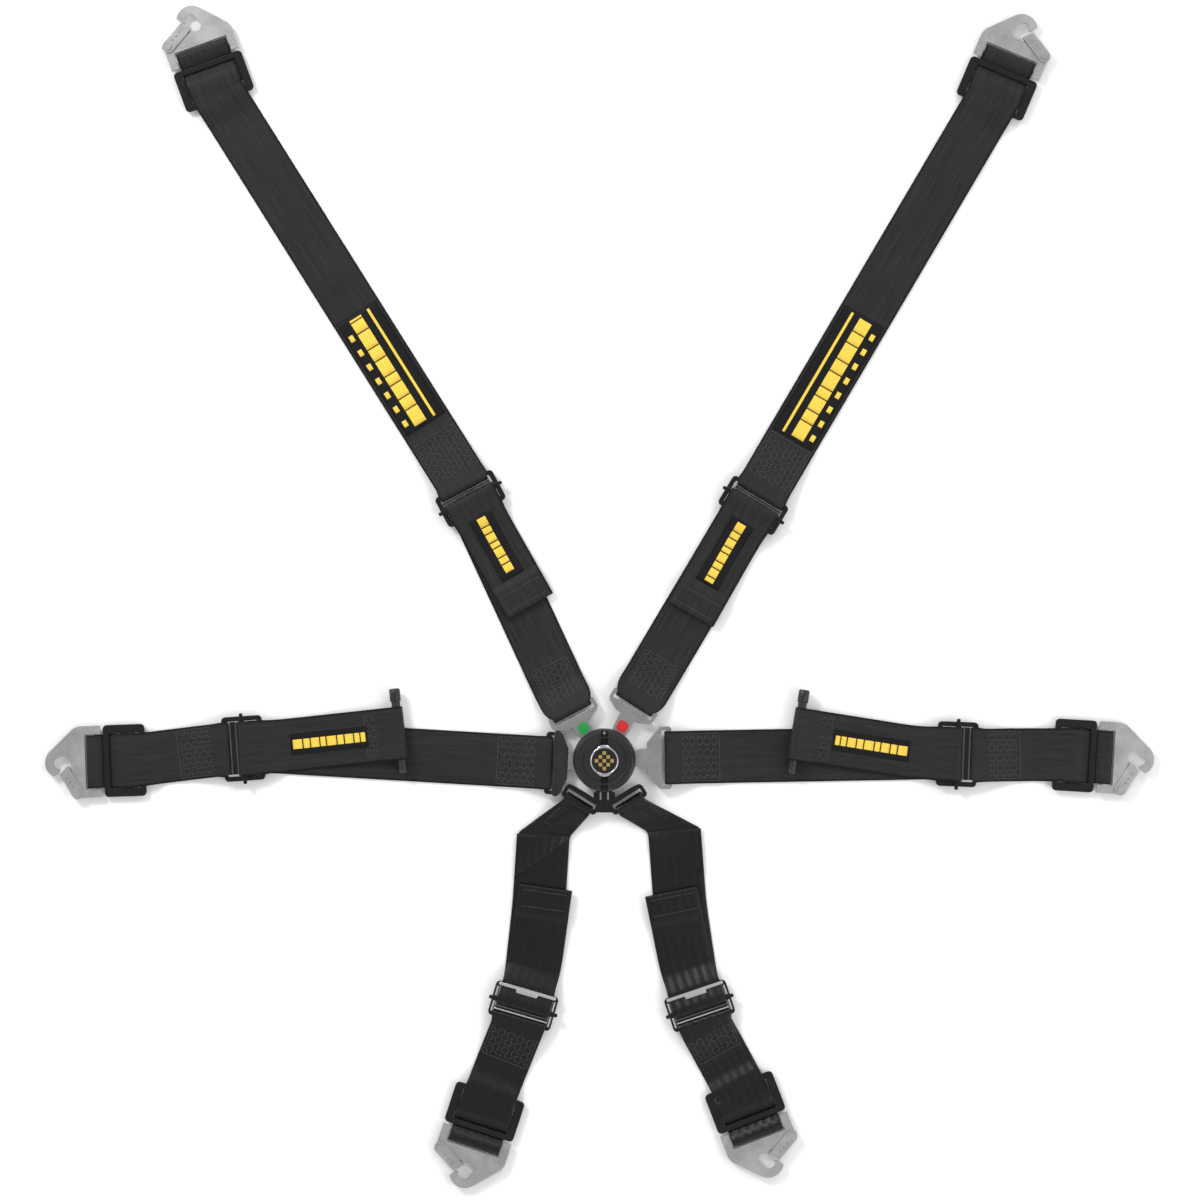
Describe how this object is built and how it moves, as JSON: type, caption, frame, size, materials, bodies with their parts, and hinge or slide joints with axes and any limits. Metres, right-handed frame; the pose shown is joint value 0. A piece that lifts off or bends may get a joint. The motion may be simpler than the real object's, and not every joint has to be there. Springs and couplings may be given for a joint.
{
  "type": "racing harness",
  "caption": "Flat-laid racing harness: webbing straps with adjusters and sprung snap hooks on a round rotary buckle with plug-in tongues.",
  "frame": {"origin": "centre of the buckle's flat back face, which lies on the surface the harness is laid on", "axes": "+Z out of the back face through the release knob, towards a viewer who looks down on the laid-out harness; +Y from the buckle towards the shoulder hooks; +X towards the lap strap that is on the right as seen from above"},
  "size_m": [1.0624, 1.1329, 0.0285],
  "materials": {
    "buckle_steel": "zinc plated pressed steel",
    "buckle_black": "black coated die casting",
    "knob": "moulded black knob",
    "black_tongue": "black coated pressed steel",
    "steel_tongue": "plated pressed steel",
    "pull_rod": "black moulded rod with a cap",
    "zinc_hook": "bright zinc plated forged steel",
    "black_hardware": "black painted pressed steel",
    "crotch_webbing": "black woven polyester webbing",
    "webbing": "charcoal woven polyester webbing"
  },
  "bodies": {
    "buckle": {"buckle_back_plate": "buckle_steel", "buckle_housing": "buckle_black", "return_spring": "buckle_steel", "lap_left_tongue": "black_tongue", "lap_left_inner_strap": "webbing"},
    "knob": {"release_knob": "knob"},
    "latch": {"latch_plate": "buckle_steel"},
    "shoulder_left_end": {"shoulder_left_tongue": "steel_tongue", "shoulder_left_inner_strap": "webbing"},
    "shoulder_right_end": {"shoulder_right_tongue": "steel_tongue", "shoulder_right_inner_strap": "webbing"},
    "lap_right_end": {"lap_right_tongue": "steel_tongue", "lap_right_inner_strap": "webbing"},
    "crotch_end": {"crotch_tongue": "black_tongue", "crotch_left_inner_strap": "crotch_webbing", "crotch_right_inner_strap": "crotch_webbing"},
    "shoulder_left_adjusting": {"shoulder_left_adjuster": "black_hardware", "shoulder_left_strap_turn": "webbing"},
    "shoulder_left_free_end": {"shoulder_left_tail": "webbing"},
    "shoulder_left_outer": {"shoulder_left_outer_strap": "webbing", "shoulder_left_slide": "black_hardware"},
    "shoulder_left_snap_hook": {"shoulder_left_hook": "zinc_hook"},
    "shoulder_left_hook_gate": {"shoulder_left_gate": "zinc_hook"},
    "shoulder_right_adjusting": {"shoulder_right_adjuster": "black_hardware", "shoulder_right_strap_turn": "webbing"},
    "shoulder_right_free_end": {"shoulder_right_tail": "webbing"},
    "shoulder_right_outer": {"shoulder_right_outer_strap": "webbing", "shoulder_right_slide": "black_hardware"},
    "shoulder_right_snap_hook": {"shoulder_right_hook": "zinc_hook"},
    "shoulder_right_hook_gate": {"shoulder_right_gate": "zinc_hook"},
    "lap_left_adjusting": {"lap_left_adjuster": "black_hardware", "lap_left_strap_turn": "webbing"},
    "lap_left_free_end": {"lap_left_tail": "webbing", "lap_left_pull_rod": "pull_rod"},
    "lap_left_outer": {"lap_left_outer_strap": "webbing", "lap_left_slide": "black_hardware"},
    "lap_left_snap_hook": {"lap_left_hook": "zinc_hook"},
    "lap_left_hook_gate": {"lap_left_gate": "zinc_hook"},
    "lap_right_adjusting": {"lap_right_adjuster": "black_hardware", "lap_right_strap_turn": "webbing"},
    "lap_right_free_end": {"lap_right_tail": "webbing", "lap_right_pull_rod": "pull_rod"},
    "lap_right_outer": {"lap_right_outer_strap": "webbing", "lap_right_slide": "black_hardware"},
    "lap_right_snap_hook": {"lap_right_hook": "zinc_hook"},
    "lap_right_hook_gate": {"lap_right_gate": "zinc_hook"},
    "crotch_left_adjusting": {"crotch_left_adjuster": "black_hardware", "crotch_left_strap_turn": "crotch_webbing"},
    "crotch_left_free_end": {"crotch_left_tail": "crotch_webbing"},
    "crotch_left_outer": {"crotch_left_outer_strap": "crotch_webbing", "crotch_left_slide": "black_hardware"},
    "crotch_left_snap_hook": {"crotch_left_hook": "zinc_hook"},
    "crotch_left_hook_gate": {"crotch_left_gate": "zinc_hook"},
    "crotch_right_adjusting": {"crotch_right_adjuster": "black_hardware", "crotch_right_strap_turn": "crotch_webbing"},
    "crotch_right_free_end": {"crotch_right_tail": "crotch_webbing"},
    "crotch_right_outer": {"crotch_right_outer_strap": "crotch_webbing", "crotch_right_slide": "black_hardware"},
    "crotch_right_snap_hook": {"crotch_right_hook": "zinc_hook"},
    "crotch_right_hook_gate": {"crotch_right_gate": "zinc_hook"}
  },
  "joints": [
    {"name": "knob_turn", "type": "hinge", "parent": "buckle", "child": "knob", "pos_m": [0, 0, 0.02], "axis": [0, 0, 1], "range_deg": [0, 45], "stiffness_Nm_per_rad": 0.25},
    {"name": "latch_lift", "type": "slide", "parent": "buckle", "child": "latch", "axis": [0, 0, 1], "range_m": [0, 0.00201]},
    {"name": "shoulder_left_tongue_out", "type": "slide", "parent": "buckle", "child": "shoulder_left_end", "axis": [-0.5534, 0.8329, 0], "range_m": [0, 0.024]},
    {"name": "shoulder_right_tongue_out", "type": "slide", "parent": "buckle", "child": "shoulder_right_end", "axis": [0.4772, 0.8788, 0], "range_m": [0, 0.024]},
    {"name": "lap_right_tongue_out", "type": "slide", "parent": "buckle", "child": "lap_right_end", "axis": [0.9995, 0.0314, 0], "range_m": [0, 0.024]},
    {"name": "crotch_tongue_out", "type": "slide", "parent": "buckle", "child": "crotch_end", "axis": [0, -1, 0], "range_m": [0, 0.024]},
    {"name": "shoulder_left_length", "type": "slide", "parent": "shoulder_left_end", "child": "shoulder_left_adjusting", "axis": [-0.4305, 0.9026, 0], "range_m": [-0.025, 0.025]},
    {"name": "shoulder_left_tail_run", "type": "slide", "parent": "shoulder_left_adjusting", "child": "shoulder_left_free_end", "axis": [-0.4939, 0.8695, 0], "range_m": [-0.025, 0.025]},
    {"name": "shoulder_left_strap_fold", "type": "hinge", "parent": "shoulder_left_adjusting", "child": "shoulder_left_outer", "pos_m": [-0.1346, 0.2621, 0.00609], "axis": [0.8829, 0.4695, 0], "range_deg": [-30, 75]},
    {"name": "shoulder_left_hook_swing", "type": "hinge", "parent": "shoulder_left_outer", "child": "shoulder_left_snap_hook", "pos_m": [-0.38493, 0.67929, 0.00505], "axis": [0.9397, 0.342, 0], "range_deg": [-60, 90]},
    {"name": "shoulder_left_gate_open", "type": "hinge", "parent": "shoulder_left_snap_hook", "child": "shoulder_left_hook_gate", "pos_m": [-0.41795, 0.68259, 0.00505], "axis": [0, 0, -1], "range_deg": [0, 24], "stiffness_Nm_per_rad": 0.02},
    {"name": "shoulder_right_length", "type": "slide", "parent": "shoulder_right_end", "child": "shoulder_right_adjusting", "axis": [0.5135, 0.8581, 0], "range_m": [-0.025, 0.025]},
    {"name": "shoulder_right_tail_run", "type": "slide", "parent": "shoulder_right_adjusting", "child": "shoulder_right_free_end", "axis": [0.4955, 0.8686, 0], "range_m": [-0.025, 0.025]},
    {"name": "shoulder_right_strap_fold", "type": "hinge", "parent": "shoulder_right_adjusting", "child": "shoulder_right_outer", "pos_m": [0.14976, 0.25527, 0.00609], "axis": [0.8563, -0.5165, 0], "range_deg": [-30, 75]},
    {"name": "shoulder_right_hook_swing", "type": "hinge", "parent": "shoulder_right_outer", "child": "shoulder_right_snap_hook", "pos_m": [0.38844, 0.67191, 0.00505], "axis": [0.9205, -0.3907, 0], "range_deg": [-60, 90]},
    {"name": "shoulder_right_gate_open", "type": "hinge", "parent": "shoulder_right_snap_hook", "child": "shoulder_right_hook_gate", "pos_m": [0.42159, 0.67348, 0.00505], "axis": [0, 0, 1], "range_deg": [0, 24], "stiffness_Nm_per_rad": 0.02},
    {"name": "lap_left_length", "type": "slide", "parent": "buckle", "child": "lap_left_adjusting", "axis": [-0.9989, 0.0471, 0], "range_m": [-0.025, 0.025]},
    {"name": "lap_left_tail_run", "type": "slide", "parent": "lap_left_adjusting", "child": "lap_left_free_end", "axis": [-0.994, -0.1097, 0], "range_m": [-0.025, 0.025]},
    {"name": "lap_left_strap_fold", "type": "hinge", "parent": "lap_left_adjusting", "child": "lap_left_outer", "pos_m": [-0.36285, 0.00956, 0.00609], "axis": [-0.0698, 0.9976, 0], "range_deg": [-30, 75]},
    {"name": "lap_left_hook_swing", "type": "hinge", "parent": "lap_left_outer", "child": "lap_left_snap_hook", "pos_m": [-0.49079, -0.00191, 0.00505], "axis": [-0.0349, 0.9994, 0], "range_deg": [-60, 90]},
    {"name": "lap_left_gate_open", "type": "hinge", "parent": "lap_left_snap_hook", "child": "lap_left_hook_gate", "pos_m": [-0.50413, -0.03229, 0.00505], "axis": [0, 0, -1], "range_deg": [0, 24], "stiffness_Nm_per_rad": 0.02},
    {"name": "lap_right_length", "type": "slide", "parent": "lap_right_end", "child": "lap_right_adjusting", "axis": [0.9999, 0.0122, 0], "range_m": [-0.025, 0.025]},
    {"name": "lap_right_tail_run", "type": "slide", "parent": "lap_right_adjusting", "child": "lap_right_free_end", "axis": [0.9874, -0.1582, 0], "range_m": [-0.025, 0.025]},
    {"name": "lap_right_strap_fold", "type": "hinge", "parent": "lap_right_adjusting", "child": "lap_right_outer", "pos_m": [0.35503, 0.00464, 0.00609], "axis": [-0.0401, -0.9992, 0], "range_deg": [-30, 75]},
    {"name": "lap_right_hook_swing", "type": "hinge", "parent": "lap_right_outer", "child": "lap_right_snap_hook", "pos_m": [0.48179, 0.00211, 0.00505], "axis": [-0.0593, -0.9982, 0], "range_deg": [-60, 90]},
    {"name": "lap_right_gate_open", "type": "hinge", "parent": "lap_right_snap_hook", "child": "lap_right_hook_gate", "pos_m": [0.49439, -0.02859, 0.00505], "axis": [0, 0, 1], "range_deg": [0, 24], "stiffness_Nm_per_rad": 0.02},
    {"name": "crotch_left_length", "type": "slide", "parent": "crotch_end", "child": "crotch_left_adjusting", "axis": [-0.153, -0.9882, 0], "range_m": [-0.025, 0.025]},
    {"name": "crotch_left_tail_run", "type": "slide", "parent": "crotch_left_adjusting", "child": "crotch_left_free_end", "axis": [-0.1374, -0.9905, 0], "range_m": [-0.025, 0.025]},
    {"name": "crotch_left_strap_fold", "type": "hinge", "parent": "crotch_left_adjusting", "child": "crotch_left_outer", "pos_m": [-0.08172, -0.2496, 0.00609], "axis": [-0.9598, 0.2807, 0], "range_deg": [-30, 75]},
    {"name": "crotch_left_hook_swing", "type": "hinge", "parent": "crotch_left_outer", "child": "crotch_left_snap_hook", "pos_m": [-0.12427, -0.36693, 0.00505], "axis": [-0.9511, 0.309, 0], "range_deg": [-60, 90]},
    {"name": "crotch_left_gate_open", "type": "hinge", "parent": "crotch_left_snap_hook", "child": "crotch_left_hook_gate", "pos_m": [-0.15715, -0.37139, 0.00505], "axis": [0, 0, 1], "range_deg": [0, 24], "stiffness_Nm_per_rad": 0.02},
    {"name": "crotch_right_length", "type": "slide", "parent": "crotch_end", "child": "crotch_right_adjusting", "axis": [0.1908, -0.9816, 0], "range_m": [-0.025, 0.025]},
    {"name": "crotch_right_tail_run", "type": "slide", "parent": "crotch_right_adjusting", "child": "crotch_right_free_end", "axis": [0.1994, -0.9799, 0], "range_m": [-0.025, 0.025]},
    {"name": "crotch_right_strap_fold", "type": "hinge", "parent": "crotch_right_adjusting", "child": "crotch_right_outer", "pos_m": [0.09602, -0.24953, 0.00609], "axis": [-0.9472, -0.3206, 0], "range_deg": [-30, 75]},
    {"name": "crotch_right_hook_swing", "type": "hinge", "parent": "crotch_right_outer", "child": "crotch_right_snap_hook", "pos_m": [0.14616, -0.35757, 0.00505], "axis": [-0.9336, -0.3584, 0], "range_deg": [-60, 90]},
    {"name": "crotch_right_gate_open", "type": "hinge", "parent": "crotch_right_snap_hook", "child": "crotch_right_hook_gate", "pos_m": [0.17924, -0.3603, 0.00505], "axis": [0, 0, -1], "range_deg": [0, 24], "stiffness_Nm_per_rad": 0.02}
  ],
  "couplings": [
    {"joint": "latch_lift", "follows": "knob_turn", "m_per_rad": 0.002546},
    {"joint": "shoulder_left_tail_run", "follows": "shoulder_left_length", "ratio": 1},
    {"joint": "shoulder_right_tail_run", "follows": "shoulder_right_length", "ratio": 1},
    {"joint": "lap_left_tail_run", "follows": "lap_left_length", "ratio": 1},
    {"joint": "lap_right_tail_run", "follows": "lap_right_length", "ratio": 1},
    {"joint": "crotch_left_tail_run", "follows": "crotch_left_length", "ratio": 1},
    {"joint": "crotch_right_tail_run", "follows": "crotch_right_length", "ratio": 1}
  ]
}
